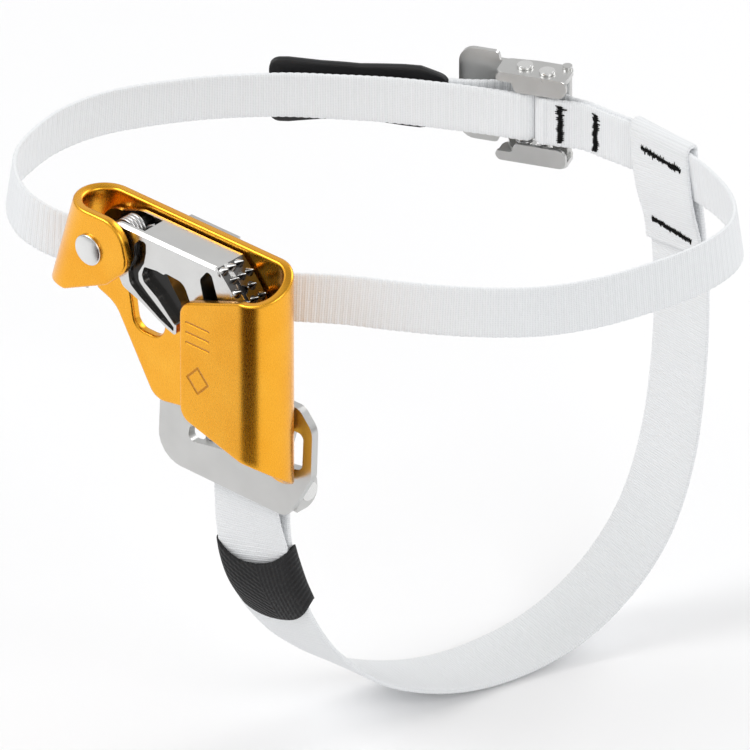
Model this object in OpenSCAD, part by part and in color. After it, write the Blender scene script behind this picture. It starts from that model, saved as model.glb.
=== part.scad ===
// Foot-mounted rope ascender: a folded alloy frame guides the rope past a sprung toothed cam,
// an ankle strap with a cam buckle holds it to the foot, and a stirrup strap runs under the sole.
// Origin: axis of the rope channel at the middle of the frame. +X runs from the pivot towards
// the channel, +Y towards the foot and +Z up the rope.

/* [Frame] */
// Thickness of the folded frame plate
plate_t = 3.2; // [3:0.1:3.4]
// Inside radius of the rope channel, for ropes up to twice this size
channel_r = 6.8; // [6.6:0.1:7]
// Height of the frame's top edge above the origin
frame_top = 40; // [39:0.5:41]

/* [Cam] */
// Radius of the cam's sleeve bearing
bush_r = 4; // [3.8:0.1:4.2]
// Thickness of the cam across the frame
cam_t = 11.6; // [11:0.1:11.8]
// Number of rows of teeth up the cam's nose
tooth_rows = 6; // [4:1:7]

/* [Straps] */
// Width of the ankle webbing
ankle_w = 16.5; // [15:0.5:17]
// Width of the stirrup webbing
foot_w = 25; // [24:0.5:26]
// Thickness of all webbing
web_t = 1.6; // [1.4:0.1:1.7]

/* [Buckle] */
// Radius of both buckle pins
pin_r = 2; // [1.8:0.1:2]
// Height of the buckle between its side walls
buckle_gap = 28; // [27:0.5:29]

/* [Hidden] */
$fn = 48;
far = 100;
channel_ro = channel_r + plate_t;
// The pivot-side fold leans by 7 in 24, so its sine and cosine are the short numbers 0.28 and 0.96.
fold_run = 7 / 24;
fold_lean = atan(fold_run);
fold_x = -63.2;
pivot = [-61.4, 0, 27.3];
rivet_r = 3;
run_gap = 0.05;
boss_r = 7.6;
spring_wire_r = 0.55;
steel_t = 2.8;
plate_y = channel_ro;
strap_pin = [-19.2, 17, -44];
strap_pin_r = 2.2;
loop_centre = [-27, 88];
buckle_at = [-30.8, 152.9, 15];
buckle_turn = 24;
roller_w = 3.85;
bar_u = 7.6;
bar_w = 2.3;
roller_r = 2.9;
wrap_r = roller_r + 0.15 + web_t / 2;
bar_wrap_r = pin_r + 0.15 + web_t / 2;
lug_z = 13.4;

// ---- helpers ----

function unit(v) = v / norm(v);

// One corner [x, z, radius] between its neighbours, as the points of its arc.
function corner(a, b, c, steps = 6) =
    let (to_a = unit([a[0] - b[0], a[1] - b[1]]), to_c = unit([c[0] - b[0], c[1] - b[1]]),
        half = acos(to_a * to_c) / 2, reach = b[2] / tan(half),
        mid = [b[0], b[1]] + unit(to_a + to_c) * b[2] / sin(half),
        from = [b[0], b[1]] + to_a * reach - mid, to = [b[0], b[1]] + to_c * reach - mid)
    b[2] == 0 ? [[b[0], b[1]]]
    : [for (i = [0 : steps]) mid + unit(from * (steps - i) + to * i) * b[2]];

// Outline through corners given as [x, z, radius].
function rounded(p) = [for (i = [0 : len(p) - 1])
    each corner(p[(i + len(p) - 1) % len(p)], p[i], p[(i + 1) % len(p)])];

// Extrudes an X-Z outline along Y, from y_low over the given thickness.
module slab(outline, y_low, thick) {
    translate([0, y_low + thick, 0]) rotate([90, 0, 0]) linear_extrude(thick) polygon(outline);
}

// A cylinder along Y between two Y values, centred on an X-Z point.
module y_rod(x, z, r, y_low, y_high) {
    translate([x, y_high, z]) rotate([90, 0, 0]) cylinder(h = y_high - y_low, r = r);
}

// Prism along X with a Y-Z outline.
module x_prism(outline, x_low, x_high) {
    translate([x_low, 0, 0]) rotate([90, 0, 90]) linear_extrude(x_high - x_low) polygon(outline);
}

// Smooth curve through control points, each any vector, with a few steps per span.
function spline(p, steps) = let (n = len(p)) [
    for (i = [0 : n - 2]) let (a = p[max(i - 1, 0)], b = p[i], c = p[i + 1], d = p[min(i + 2, n - 1)])
        for (k = [0 : steps - 1]) let (t = k / steps)
            0.5 * (2 * b + (c - a) * t + (2 * a - 5 * b + 4 * c - d) * t * t
                + (3 * b - a - 3 * c + d) * t * t * t),
    p[n - 1]];

// Sweeps a flat band. Each row is [x, y, z, ax, ay, az]: a point and the way its width runs.
module band(rows, width, thick) {
    n = len(rows);
    rings = [for (i = [0 : n - 1]) each band_ring(rows, i, width, thick)];
    polyhedron(rings, concat([[2, 1, 0], [3, 2, 0]], band_walls(n, 4, 0, false),
        [for (f = [[0, 1, 2], [0, 2, 3]]) f + 4 * (n - 1) * [1, 1, 1]]));
}

// Sweeps a flat sleeve: a band with a flat opening through its whole length.
module sleeve(rows, width, thick, wall) {
    n = len(rows);
    rings = [for (i = [0 : n - 1])
        each concat(band_ring(rows, i, width, thick),
            band_ring(rows, i, width - 2 * wall, thick - 2 * wall))];
    rim = [for (k = [0 : 3]) let (m = (k + 1) % 4) each [[k, m, 4 + m], [k, 4 + m, 4 + k]]];
    polyhedron(rings, concat([for (f = rim) [f[2], f[1], f[0]]], band_walls(n, 8, 0, false),
        band_walls(n, 8, 4, true), [for (f = rim) f + 8 * (n - 1) * [1, 1, 1]]));
}

// The four corners of a band's section at one row.
function band_ring(rows, i, width, thick) =
    let (n = len(rows), ahead = rows[min(i + 1, n - 1)], behind = rows[max(i - 1, 0)], r = rows[i],
        t = unit([for (k = [0 : 2]) ahead[k] - behind[k]]), at = [r[0], r[1], r[2]], a = [r[3], r[4], r[5]],
        across = unit(a - t * (a * t)), out = cross(t, across) * thick / 2, side = across * width / 2)
    [at - side - out, at + side - out, at + side + out, at - side + out];

// Triangles between rings of the given stride, using the four corners from one offset on.
function band_walls(n, stride, first, inside) = [for (i = [0 : n - 2], k = [0 : 3])
    let (a = stride * i + first + k, b = stride * i + first + (k + 1) % 4)
    each inside ? [[b, a, b + stride], [a, a + stride, b + stride]]
    : [[a, b, b + stride], [a, b + stride, a + stride]]];

// ---- frame ----

lip_top = 32.4;
lip_low = -24;
back_low = -38;
ear_low = 8.8;
fold_low = 4;
// The fold's centre line at a height, as a sharp corner.
function fold_at(z) = [fold_x - (frame_top - z) * fold_run, z, 0];
back_outline = rounded([[0, frame_top, 0], fold_at(frame_top), fold_at(fold_low), [-74.3, 1.5, 1.2],
    [-66.5, -1.5, 9], [-50.3, -29, 6], [-38.5, -27, 6], [0, back_low, 0]]);
ear_outline = rounded([fold_at(frame_top), fold_at(ear_low), [-55, 17, 5], [-45.5, 26, 7],
    [-49, frame_top, 9]]);
lip_outline = rounded([[0, lip_top, 0], [-24.6, 23, 6], [-24.6, -17.1, 5], [0, lip_low, 0]]);
// Y-Z outline of a bend whose ends run straight from the front plate's edge to the back plate's.
function bend_cut(front_top, back_top, front_low, back_low, e = 0.05) =
    [[-(1 + e) * channel_ro, front_top + (front_top - back_top) * e / 2],
    [(1 + e) * channel_ro, back_top + (back_top - front_top) * e / 2],
    [(1 + e) * channel_ro, back_low + (back_low - front_low) * e / 2],
    [-(1 + e) * channel_ro, front_low + (front_low - back_low) * e / 2]];
window_outline = rounded([[-61, 13, 4], [-58, -6.5, 4], [-46, -6.5, 5], [-46.5, 8, 5]]);
plate_rivets_at = [[-34, -17], [-12, -22], [-30, 34.9]];
plate_rivet_head = 3.2;

module ring_half(side) {
    intersection() {
        difference() {
            cylinder(h = 2 * far, r = channel_ro, center = true);
            cylinder(h = 2 * far + 1, r = channel_r, center = true);
        }
        translate([side > 0 ? 0 : -far, -far, -far]) cube([far, 2 * far, 2 * far]);
    }
}

module frame() {
    color("goldenrod") difference() {
        union() {
            slab(back_outline, channel_r, plate_t);
            slab(ear_outline, -channel_ro, plate_t);
            slab(lip_outline, -channel_ro, plate_t);
            intersection() {
                ring_half(1);
                x_prism(bend_cut(lip_top, frame_top, lip_low, back_low), 0, 11);
            }
            intersection() {
                translate([fold_x, 0, frame_top]) rotate([0, fold_lean, 0]) ring_half(-1);
                x_prism(bend_cut(frame_top, frame_top, ear_low, fold_low), -90, -55);
            }
        }
        y_rod(pivot[0], pivot[2], rivet_r + run_gap, -11, 11);
        slab(window_outline, channel_r - 1, plate_t + 2);
        for (p = plate_rivets_at) {
            y_rod(p[0], p[1], 2.05, channel_r - 1, 11);
            translate([p[0], channel_r - 0.01, p[1]]) rotate([-90, 0, 0])
                cylinder(h = 1.5, r1 = 3.5, r2 = 2.05);
        }
    }
}

// ---- cam ----

cam_half = cam_t / 2;
cam_top = 38;
cam_chamfer = 0.9;
// The nose is a spiral about the pivot, so that a pull on the rope wedges it tighter.
nose_low = -14;
nose_high = 12.5;
nose_r_low = 69.2;
nose_r_high = 50;
function nose_r(a) = nose_r_low * pow(nose_r_high / nose_r_low, (a - nose_low) / (nose_high - nose_low));
function nose_point(a, grow = 0) = [pivot[0], pivot[2]] + (nose_r(a) + grow) * [cos(a), sin(a)];
cam_outline = concat(
    rounded([[-61, 34.9, 0], [-53, cam_top, 8], [-16, cam_top, 2], [-12.6, 38.1, 0]]),
    [for (i = [1 : 10]) nose_point(nose_high + (nose_low - nose_high) * i / 10)],
    [[4.6, 7.2], [1.5, 5.6]],
    rounded([[-6, 5.4, 0], [-14, 11, 6], [-22, 18, 4], [-26.4, 27.4, 4], [-36.8, 28.2, 2], [-34, 23.6, 4],
        [-29.3, 17.5, 5], [-29.6, 7.4, 1], [-33.5, 8.6, 4], [-44, 13.8, 5], [-51.5, 16.5, 3],
        [-53, 19.5, 0]]),
    [[-61.4, 19.8]]);
// Pockets in the open flank: down the thumb lever, inside its hook, beside the boss and near the nose.
lever_pocket = rounded([[-44.6, 35.5, 1], [-46.6, 33, 2], [-46.8, 28, 3], [-49.3, 23, 3], [-48.6, 18.6, 3],
    [-44.5, 15.6, 4], [-36, 10.8, 4], [-30.6, 8.7, 0.3], [-30.6, 10.2, 0.3], [-36, 14.2, 4], [-41.8, 18.4, 3],
    [-44.8, 21, 2], [-45, 23.8, 2], [-42.6, 28, 3], [-41.8, 32, 2], [-41.8, 35.5, 1]]);
hook_pocket = rounded([[-42.6, 26.8, 1], [-43.6, 23.6, 1.5], [-42.8, 21.4, 1.5], [-37.2, 17.8, 4],
    [-30.2, 11.2, 0.5], [-27, 12, 0], [-27, 18, 3], [-33.4, 27, 1.5], [-37.5, 27.4, 1]]);
// The slot for the springs, open at the top of the cam, and the post that carries the drum spring.
slot_front = -3.9;
slot_back = 4.4;
post = [-53, 33];
drum_r = 4.2;
// A clean groove down the nose, between the teeth.
nose_groove = concat([for (i = [0 : 8]) nose_point(8 - 2 * i, -1.1)],
    [for (i = [0 : 8]) nose_point(-8 + 2 * i, 5)]);
boss_pocket = rounded([[-52.6, 33.4, 1], [-49.6, 35, 1], [-48.6, 30, 2], [-49.2, 26, 2], [-51.6, 22, 1]]);
nose_pocket = rounded([[-16.6, 35.6, 1.4], [-19.8, 31.4, 2], [-17.6, 22, 1], [-10.6, 22, 1],
    [-14.8, 34.4, 0.8]]);

module cam() {
    color("silver") difference() {
        union() {
            slab(cam_outline, -cam_half, cam_t);
            y_rod(pivot[0], pivot[2], boss_r, -cam_half, cam_half);
            for (row = [0 : tooth_rows - 1], k = [-1 : 1])
                let (a = nose_high - 1.6 - row * 3.4, at = nose_point(a))
                translate([at[0] - 0.6, k * 3.4 + (row % 2) * 1.7 - 0.85, at[1] - 0.7])
                    rotate([0, 50, 0]) cylinder(h = 3.4, r1 = 1.9, r2 = 0.2);
        }
        y_rod(pivot[0], pivot[2], bush_r + run_gap, -7, 7);
        // The nose is rounded to the channel it closes.
        difference() {
            translate([0, -cam_t, -far / 2]) cube([far / 2, 2 * cam_t, far]);
            cylinder(h = 2 * far, r = channel_r - 0.5, center = true);
        }
        difference() {
            translate([-75, slot_front, 16]) cube([31, slot_back - slot_front, 30]);
            y_rod(post[0], post[1], 2.4, -cam_half, cam_half);
        }
        slab(lever_pocket, -cam_half - 1, 2.2);
        slab(hook_pocket, -cam_half - 1, 3.4);
        slab(boss_pocket, -cam_half - 1, 2.2);
        slab(nose_pocket, -cam_half - 1, 4.4);
        slab(nose_groove, -2.8, 1.7);
        x_prism([[-cam_half - 1, cam_top - cam_chamfer - 1], [-cam_half - 1, cam_top + 1],
            [-cam_half + cam_chamfer + 1, cam_top + 1]], -75, -13.5);
    }
}

// Points up a coil along Y, twelve to a turn, from one step number on.
function coil(x, z, r, pitch, turns, y_low, first) = [for (i = [first : turns * 12]) let (a = i * 30)
    [x + r * cos(a), y_low + pitch * i / 12, z + r * sin(a)]];

// Round wire along a list of points.
module wire(p, r, sides = 8) {
    n = len(p);
    rings = [for (i = [0 : n - 1])
        let (t = unit(p[min(i + 1, n - 1)] - p[max(i - 1, 0)]), side = unit(cross(t, [0.13, 1, 0.07])),
            up = cross(t, side))
        each [for (k = [0 : sides - 1]) let (a = 360 * k / sides) p[i] + r * (cos(a) * side + sin(a) * up)]];
    walls = [for (i = [0 : n - 2], k = [0 : sides - 1])
        [sides * i + k, sides * i + (k + 1) % sides, sides * (i + 1) + (k + 1) % sides, sides * (i + 1) + k]];
    polyhedron(rings, concat([[for (k = [sides - 1 : -1 : 0]) k]], walls,
        [[for (k = [0 : sides - 1]) sides * (n - 1) + k]]));
}

// Wire fixed to the frame: it hooks round the bearing, and its leg runs down inside the fold.
spring_y = -2.3;
spring_r = bush_r + 0.6;
module cam_spring() {
    color("dimgray") wire(concat([[-69.4, spring_y, 7.5], [-67.6, spring_y, 17]],
        coil(pivot[0], pivot[2], spring_r, 1.15, 2, spring_y, 6)), 0.5);
}

// Return spring wound round the post in the cam's slot.
drum_turns = 5;
drum_pitch = 1.3;
drum_y = -3.6;
drum_end_y = drum_y + drum_turns * drum_pitch;
module drum_spring() {
    start_y = drum_y + drum_pitch * 9 / 12;
    color("dimgray") wire(concat([[-55.9, start_y, 23.5], [-55.2, start_y, 27.2]],
        coil(post[0], post[1], drum_r, drum_pitch, drum_turns, drum_y, 9),
        [[-48.5, drum_end_y, 34.8], [-46, drum_end_y, 36.2]]), spring_wire_r);
}

module cam_bush() {
    color("lightgray") difference() {
        y_rod(pivot[0], pivot[2], bush_r, -channel_r, channel_r);
        y_rod(pivot[0], pivot[2], rivet_r + run_gap, -channel_r - 1, channel_r + 1);
    }
}

module cam_washers() {
    color("darkgray") for (y = [-channel_r + 0.1, cam_half + 0.1]) difference() {
        y_rod(pivot[0], pivot[2], 6.6, y, y + 0.8);
        y_rod(pivot[0], pivot[2], bush_r + 0.1, y - 1, y + 2);
    }
}

// Rivet along Y with a domed head at each end.
module dome(r, h) {
    sphere_r = (r * r + h * h) / (2 * h);
    rotate_extrude() intersection() {
        translate([0, h - sphere_r]) circle(sphere_r);
        square([r, h]);
    }
}

module pivot_rivet() {
    color("gainsboro") union() {
        y_rod(pivot[0], pivot[2], rivet_r, -channel_ro - 0.5, channel_ro + 0.5);
        y_rod(pivot[0], pivot[2], 5.1, -channel_ro - 0.8, -channel_ro);
        translate([pivot[0], -channel_ro - 0.8, pivot[2]]) rotate([90, 0, 0]) dome(5.1, 0.9);
        translate([pivot[0], channel_ro, pivot[2]]) rotate([-90, 0, 0]) dome(4.4, 1.3);
    }
}

// ---- steel strap plate on the back of the frame ----

plate_outline = rounded([[-40, -9, 0], [-50.8, -30, 4], [-51.8, -50.8, 9], [1.5, -51.5, 6], [11.2, -34, 6],
    [11.8, -17, 6], [6.5, -11, 4], [-8, -11, 0], [-8, -9, 0]]);
slot_outline = rounded([[-39.5, -40.5, 2], [-38.5, -34.5, 2], [1.5, -27.5, 1.5], [3.6, -19.5, 1.8],
    [8.2, -19.5, 2], [7.6, -32.4, 2.5]]);
bridge_lift = 3.2;
bridge_in = plate_y + bridge_lift;
plate_out = plate_y + steel_t;
bridge_outline = [[plate_y, -9.5], [plate_y, 0], [bridge_in, 4], [bridge_in, 27.4], [plate_y, 29.9],
    [plate_y, 38.2], [plate_out, 38.2], [plate_out, 31.5], [bridge_in + steel_t, 29],
    [bridge_in + steel_t, 2.6], [plate_out, -1.4], [plate_out, -9.5]];
pin_lug = rounded([[plate_out - 0.5, -50, 0], [plate_out - 0.5, -38, 0], [21.5, -38, 5], [21.5, -50, 5]]);

module strap_plate() {
    color("silver") difference() {
        union() {
            slab(plate_outline, plate_y, steel_t);
            // Joggled tongue: it stands off the frame where the ankle strap passes under it.
            x_prism(bridge_outline, -40, -20);
            for (x = [-35.5, 1.5]) x_prism(pin_lug, x, x + 2);
        }
        slab(slot_outline, plate_y - 1, steel_t + 2);
        for (p = plate_rivets_at) y_rod(p[0], p[1], 2.05, 9, 14);
        translate([0, strap_pin[1], strap_pin[2]]) rotate([0, 90, 0])
            cylinder(h = 120, r = strap_pin_r + run_gap, center = true);
    }
}

module plate_rivets() {
    color("gainsboro") for (p = plate_rivets_at) union() {
        y_rod(p[0], p[1], 2, channel_r + 0.02, plate_out + 0.5);
        translate([p[0], channel_r + 0.02, p[1]]) rotate([-90, 0, 0]) cylinder(h = 1.4, r1 = 3.35, r2 = 2);
        translate([p[0], plate_out, p[1]]) rotate([-90, 0, 0]) dome(plate_rivet_head, 1.1);
    }
}

module strap_pin() {
    color("gainsboro") translate([0, strap_pin[1], strap_pin[2]]) rotate([0, 90, 0]) union() {
        translate([0, 0, -36.5]) cylinder(h = 41, r = strap_pin_r);
        translate([0, 0, -36.7]) cylinder(h = 1.2, r = 3.2);
        translate([0, 0, 3.5]) cylinder(h = 1.2, r = 3.2);
    }
}

// ---- stirrup strap: [x, y, z, heading of its width in degrees] ----

foot_wrap_r = strap_pin_r + 0.2 + web_t / 2;
foot_tail = [[-14.8, 24, -92, 14], [-16.2, 21.2, -84, 16], [-18.4, 18.3, -71, 12], [-19.2, 19.2, -58, 4]];
foot_turn = [for (a = [-20 : 40 : 200])
    [strap_pin[0], strap_pin[1] + foot_wrap_r * cos(a), strap_pin[2] + foot_wrap_r * sin(a), 0]];
foot_run = [[-19.2, 14.6, -58, 4], [-18.4, 16.3, -71, 12], [-16.4, 19, -84, 16], [-13.9, 24, -98, 12],
    [-10.4, 34, -113, 6], [-4.5, 50, -127, 0], [3, 72, -136, -3], [9, 95, -138.5, -5], [15, 118, -134, -7],
    [20, 137, -122, -8], [24, 150, -104, -8], [26, 158, -80, -8], [27, 161.5, -50, -8], [26, 163.2, -25, -6],
    [24, 163.7, -8, -5], [21.5, 164.3, 4, -4], [20, 164.4, 14, -4], [19.4, 164.4, 21, -4]];
hem_y = 162.3;
hem_z = 22.6;
foot_hem = concat([for (a = [20 : 35 : 160]) [19.3, hem_y + 2.1 * cos(a), hem_z + 2.1 * sin(a), -4]],
    [[19.4, 160.2, 21, -4], [20, 160.2, 14, -4], [21.5, 160.3, 4, -4], [23.6, 161.6, -7, -5],
    [24.4, 161.8, -13, -5]]);
foot_rows = [for (p = spline(concat(foot_tail, foot_turn, foot_run, foot_hem), 3))
    [p[0], p[1], p[2], cos(p[3]), sin(p[3]), 0]];

module foot_strap() {
    color("white") band(foot_rows, foot_w, web_t);
}

// Bar tacks: one sews the tab to the ankle strap and one closes it below. Each is [x, y, z, depth].
module foot_bartacks() {
    color("black") for (t = [[19.9, 162.3, 17.3, 6.4], [23.4, 162.6, -7, 5.6]])
        translate([t[0], t[1], t[2]]) rotate([0, 4, -4]) cube([19, t[3], 1.4], center = true);
}

keeper_at = [[-18.8, 17.3, -67, 12], [-17.7, 18.4, -76, 14], [-16.2, 20.3, -85, 15], [-14.4, 23.9, -94, 13]];
keeper_route = [for (p = spline(keeper_at, 3)) [p[0], p[1], p[2], cos(p[3]), sin(p[3]), 0]];
module elastic_keeper() {
    color("#181818") sleeve(keeper_route, foot_w + 5.4, 8.2, 1.2);
}

// ---- ankle strap ----

// Places buckle coordinates: u along the strap, w away from the foot, z up.
module in_buckle() {
    translate(buckle_at) rotate([0, 0, buckle_turn]) children();
}
function buckle_point(u, w) = [buckle_at[0] + u * cos(buckle_turn) - w * sin(buckle_turn),
    buckle_at[1] + u * sin(buckle_turn) + w * cos(buckle_turn), buckle_at[2], 0];

// Controls are [x, y, z, lean], where lean is how far the top edge tips towards the ankle.
ankle_hem = [for (p = [[38, -4.5], [28, -0.95], [22, 1.4], [16, 2.6], [11.5, 4.6]]) buckle_point(p[0], p[1])];
ankle_bar_turn = [for (a = [60 : 40 : 300])
    buckle_point(bar_u + bar_wrap_r * cos(a), bar_w + bar_wrap_r * sin(a))];
ankle_run = [buckle_point(12, -0.3), buckle_point(20, 0), [-4, 161.6, 15, 0], [8, 162.6, 15, 0],
    [20, 162.3, 15, 0], [33, 160.6, 15, 0.08], [46, 157, 15, 0.14], [58, 151, 15, 0.14],
    [67, 142, 15, 0.14], [70.5, 131, 15, 0.14], [70, 117, 15, 0.14], [66.5, 102, 15, 0.14],
    [61, 86, 15, 0.14], [53, 71.5, 15.2, 0.14], [43, 60, 15.6, 0.14], [31, 50, 16, 0.14],
    [19, 41, 16.8, 0.14], [6, 31.5, 18, 0.12], [-5, 21.5, 19, 0.08], [-16, 13.8, 18.6, 0],
    [-28, 11.45, 17.4, 0], [-45, 11.4, 15.4, 0], [-62, 11.6, 13.4, 0], [-78, 12.1, 11.6, 0],
    [-90, 10.8, 11, 0.06], [-100, 10.6, 11, 0.12], [-110, 12.6, 11.4, 0.14], [-119.5, 18.5, 12, 0.14],
    [-126.5, 27, 13, 0.14], [-130, 39, 14, 0.14], [-130.5, 54, 15, 0.14], [-126, 72, 15, 0.14],
    [-112, 94.5, 15, 0.14], [-95.5, 112.5, 15, 0.12], [-81, 123.8, 15, 0.08], [-66, 134.4, 15, 0.04],
    buckle_point(-22, -0.9), buckle_point(-12, -0.2), buckle_point(-5, 0)];
ankle_roller_turn = [for (a = [-90 : 36 : 90]) buckle_point(wrap_r * cos(a), roller_w + wrap_r * sin(a))];
ankle_tail = [buckle_point(-6, 6.9), buckle_point(-14, 4.2), buckle_point(-20, 2.6), buckle_point(-24, 1.9)];
ankle_rows = [for (p = spline(concat(ankle_hem, ankle_bar_turn, ankle_run, ankle_roller_turn, ankle_tail), 3))
    let (inward = unit(loop_centre - [p[0], p[1]]) * p[3]) [p[0], p[1], p[2], inward[0], inward[1], 1]];

module ankle_strap() {
    color("white") band(ankle_rows, ankle_w, web_t);
}

module ankle_bartacks() {
    color("black") in_buckle() for (t = [[12.8, 1.9, 6.4], [25, -0.8, 5]]) translate([t[0], t[1], 0])
        cube([1.6, t[2], 13], center = true);
}

// Grip tab moulded on the strap's free end. It follows the strap on its outer side.
tab_at = [buckle_point(-24.1, 1.9), buckle_point(-34, 1.0), buckle_point(-46, -0.6),
    buckle_point(-60, -3.4), buckle_point(-78, -8.4)];
tab_rows = [for (p = spline(tab_at, 3)) [p[0], p[1], p[2], 0, 0, 1]];
module strap_end_tab() {
    color("#202020") band([for (r = tab_rows) r + [-0.4, 0.92, 0, 0, 0, 0]], 20.5, 1.8);
}

// ---- buckle, in its own u, w, z ----

wall_t = 1.6;
wall_z = buckle_gap / 2;
wall_outline = rounded([[-7.8, -1.6, 2], [-7.8, 7.2, 3], [3, 8.6, 3], [14.8, 8.6, 3], [14.8, -1.6, 2.6]]);
// Front flanges beside the strap, as u and height, and how thick they are.
flange_low = ankle_w / 2 + 0.95;
flange_top = wall_z + wall_t;
flange_outline = rounded([[-7.8, flange_top, 2], [14.8, flange_top, 2.4], [14.8, flange_low, 3],
    [-1.8, flange_low, 1.4], [-2.6, wall_z - 1.6, 1], [-7.8, wall_z - 1.6, 1]]);
flange_t = 1.4;
module buckle_frame() {
    color("silver") in_buckle() difference() {
        union() {
            for (z = [-wall_z - wall_t, wall_z]) translate([0, 0, z]) linear_extrude(wall_t)
                polygon(wall_outline);
            for (s = [-1, 1]) translate([0, -1.6 + flange_t, 0]) rotate([90, 0, 0])
                linear_extrude(flange_t) polygon([for (p = flange_outline) [p[0], s * p[1]]]);
            translate([12.6, 7.0, 0]) cylinder(h = 2 * wall_z + 2 * wall_t + 2, r = 1.5, center = true);
            translate([7.2, 7, -wall_z - 0.5]) cube([6.4, 1.3, buckle_gap + 1]);
        }
        translate([0, roller_w, 0]) cylinder(h = 60, r = pin_r + run_gap, center = true);
        translate([bar_u, bar_w, 0]) cylinder(h = 60, r = pin_r + run_gap, center = true);
    }
}

module buckle_lever() {
    color("silver") in_buckle() difference() {
        union() {
            // Thumb plate, wider than the walls beyond their ends.
            translate([0, 10.6, 0]) rotate([90, 0, 0]) linear_extrude(1.6)
                polygon(rounded([[-1, lug_z, 1], [-9.8, lug_z, 0], [-10.4, 16, 1.5], [-23, 16, 5],
                    [-23, -16, 5], [-10.4, -16, 1.5], [-9.8, -lug_z, 0], [-1, -lug_z, 1]]));
            for (z = [-lug_z, lug_z - 1.4]) translate([0, 0, z]) linear_extrude(1.4)
                polygon(rounded([[-8, 10.5, 0], [-3.4, roller_w - 3.4, 2.5], [3.2, roller_w - 3.2, 2.5],
                    [3.2, roller_w + 2.4, 1.5], [-1, 10.5, 0]]));
        }
        translate([0, roller_w, 0]) cylinder(h = 60, r = pin_r + run_gap, center = true);
    }
}

module headed_pin() {
    cylinder(h = 2 * wall_z + 5, r = pin_r, center = true);
    for (s = [-1, 1]) translate([0, 0, s * (wall_z + wall_t + 0.45)])
        cylinder(h = 0.8, r = pin_r + 0.5, center = true);
}

module buckle_pin() {
    color("gainsboro") in_buckle() translate([0, roller_w, 0]) headed_pin();
}

module buckle_bar() {
    color("gainsboro") in_buckle() translate([bar_u, bar_w, 0]) headed_pin();
}

module buckle_roller() {
    color("darkgray") in_buckle() translate([0, roller_w, 0]) difference() {
        cylinder(h = 17.4, r = roller_r, center = true);
        cylinder(h = 20, r = pin_r + run_gap, center = true);
    }
}

// Closing spring: one closed coil on the pin above the roller and one below it.
module buckle_spring() {
    color("dimgray") in_buckle() translate([0, roller_w, 0]) for (s = [-1, 1], k = [0, 1])
        translate([0, 0, s * (9.25 + k * 0.82)]) rotate_extrude() translate([2.55, 0]) circle(r = 0.4);
}

frame();
cam();
cam_spring();
drum_spring();
cam_bush();
cam_washers();
pivot_rivet();
strap_plate();
plate_rivets();
strap_pin();
foot_strap();
foot_bartacks();
elastic_keeper();
ankle_strap();
ankle_bartacks();
strap_end_tab();
buckle_frame();
buckle_lever();
buckle_pin();
buckle_roller();
buckle_bar();
buckle_spring();
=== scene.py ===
"""Looks of the foot-mounted rope ascender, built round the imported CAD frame.

Shapes are worked out in millimetres, with the same named sizes and routes as the CAD source.
make_mesh() turns them into metres.
"""
import math

import bpy
import numpy as np
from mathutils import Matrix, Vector, geometry


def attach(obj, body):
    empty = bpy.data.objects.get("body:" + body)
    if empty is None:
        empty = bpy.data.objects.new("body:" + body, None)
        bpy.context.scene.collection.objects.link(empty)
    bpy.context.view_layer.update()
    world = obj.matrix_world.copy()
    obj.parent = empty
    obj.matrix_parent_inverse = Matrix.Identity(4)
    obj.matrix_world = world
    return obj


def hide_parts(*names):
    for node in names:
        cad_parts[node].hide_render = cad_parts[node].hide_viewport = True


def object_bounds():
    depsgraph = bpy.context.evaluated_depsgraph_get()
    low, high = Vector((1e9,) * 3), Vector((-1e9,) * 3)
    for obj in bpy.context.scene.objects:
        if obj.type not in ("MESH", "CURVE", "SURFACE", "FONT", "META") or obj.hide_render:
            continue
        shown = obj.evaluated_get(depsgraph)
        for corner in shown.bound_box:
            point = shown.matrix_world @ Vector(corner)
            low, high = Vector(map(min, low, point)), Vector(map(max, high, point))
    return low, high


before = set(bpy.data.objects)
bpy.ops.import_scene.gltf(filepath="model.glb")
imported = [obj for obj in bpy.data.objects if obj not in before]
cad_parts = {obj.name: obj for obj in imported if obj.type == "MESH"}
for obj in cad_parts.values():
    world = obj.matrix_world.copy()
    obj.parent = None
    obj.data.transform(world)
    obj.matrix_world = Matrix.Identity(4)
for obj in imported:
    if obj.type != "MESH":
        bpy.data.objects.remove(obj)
cad_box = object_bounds()

MM = 0.001

# ---- sizes shared with the CAD source ----

PLATE_T = 3.2
CHANNEL_R = 6.8
FRAME_TOP = 40.0
FOLD_X = -63.2
FOLD_RUN = 7 / 24
FOLD_LOW = 4.0
EAR_LOW = 8.8
LIP_TOP, LIP_LOW, BACK_LOW = 32.4, -24.0, -38.0
PIVOT = np.array([-61.4, 0.0, 27.3])
RIVET_R = 3.0
WEB_T = 1.6
ANKLE_W = 16.5
FOOT_W = 25.0
STRAP_PIN = np.array([-19.2, 17.0, -44.0])
STRAP_PIN_R = 2.2
LOOP_CENTRE = np.array([-27.0, 88.0])
BUCKLE_AT = np.array([-30.8, 152.9, 15.0])
BUCKLE_TURN = math.radians(24)
ROLLER_W, ROLLER_R = 3.85, 2.9
BAR_U, BAR_W, BUCKLE_PIN_R = 7.6, 2.3, 2.0
WRAP_R = ROLLER_R + 0.15 + WEB_T / 2
BAR_WRAP_R = BUCKLE_PIN_R + 0.15 + WEB_T / 2
CAM_FLANK = 5.8
CAM_SLOT_REACH = 4.6
NOSE_FROM, NOSE_FULL = 47.5, 49.5
NOSE_GROOVE_Y = -1.95
DRUM_POST = np.array([-53.0, 33.0])

# ---- camera and studio ----

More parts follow.
